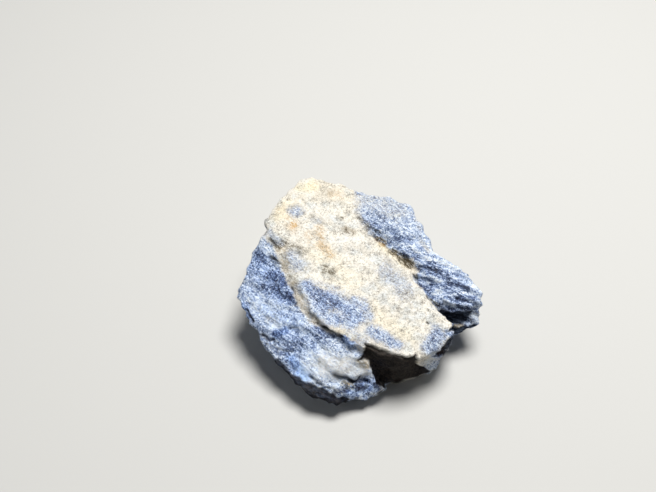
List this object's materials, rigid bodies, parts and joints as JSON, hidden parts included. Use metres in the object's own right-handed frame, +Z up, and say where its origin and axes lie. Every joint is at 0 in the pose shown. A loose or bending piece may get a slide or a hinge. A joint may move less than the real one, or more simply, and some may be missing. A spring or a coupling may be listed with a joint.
{
  "type": "rough mineral specimen",
  "caption": "Rough hand specimen of dumortierite: a wedge-shaped broken rock, a pale quartz bed between two blue foliated bands, lying on its flat underside.",
  "frame": {"origin": "centre of the bounding box in plan, on the surface that the stone rests on", "axes": "+Z up from the resting face; +X to the right and +Y away for someone who faces the low front end, along the slope of the pale bed up to its peak"},
  "size_m": [0.0448, 0.0436, 0.0172],
  "materials": {
    "dumortierite_rock": "rough broken stone, matt, cream quartz and blue dumortierite"
  },
  "bodies": {
    "root": {"stone": "dumortierite_rock"}
  },
  "joints": []
}
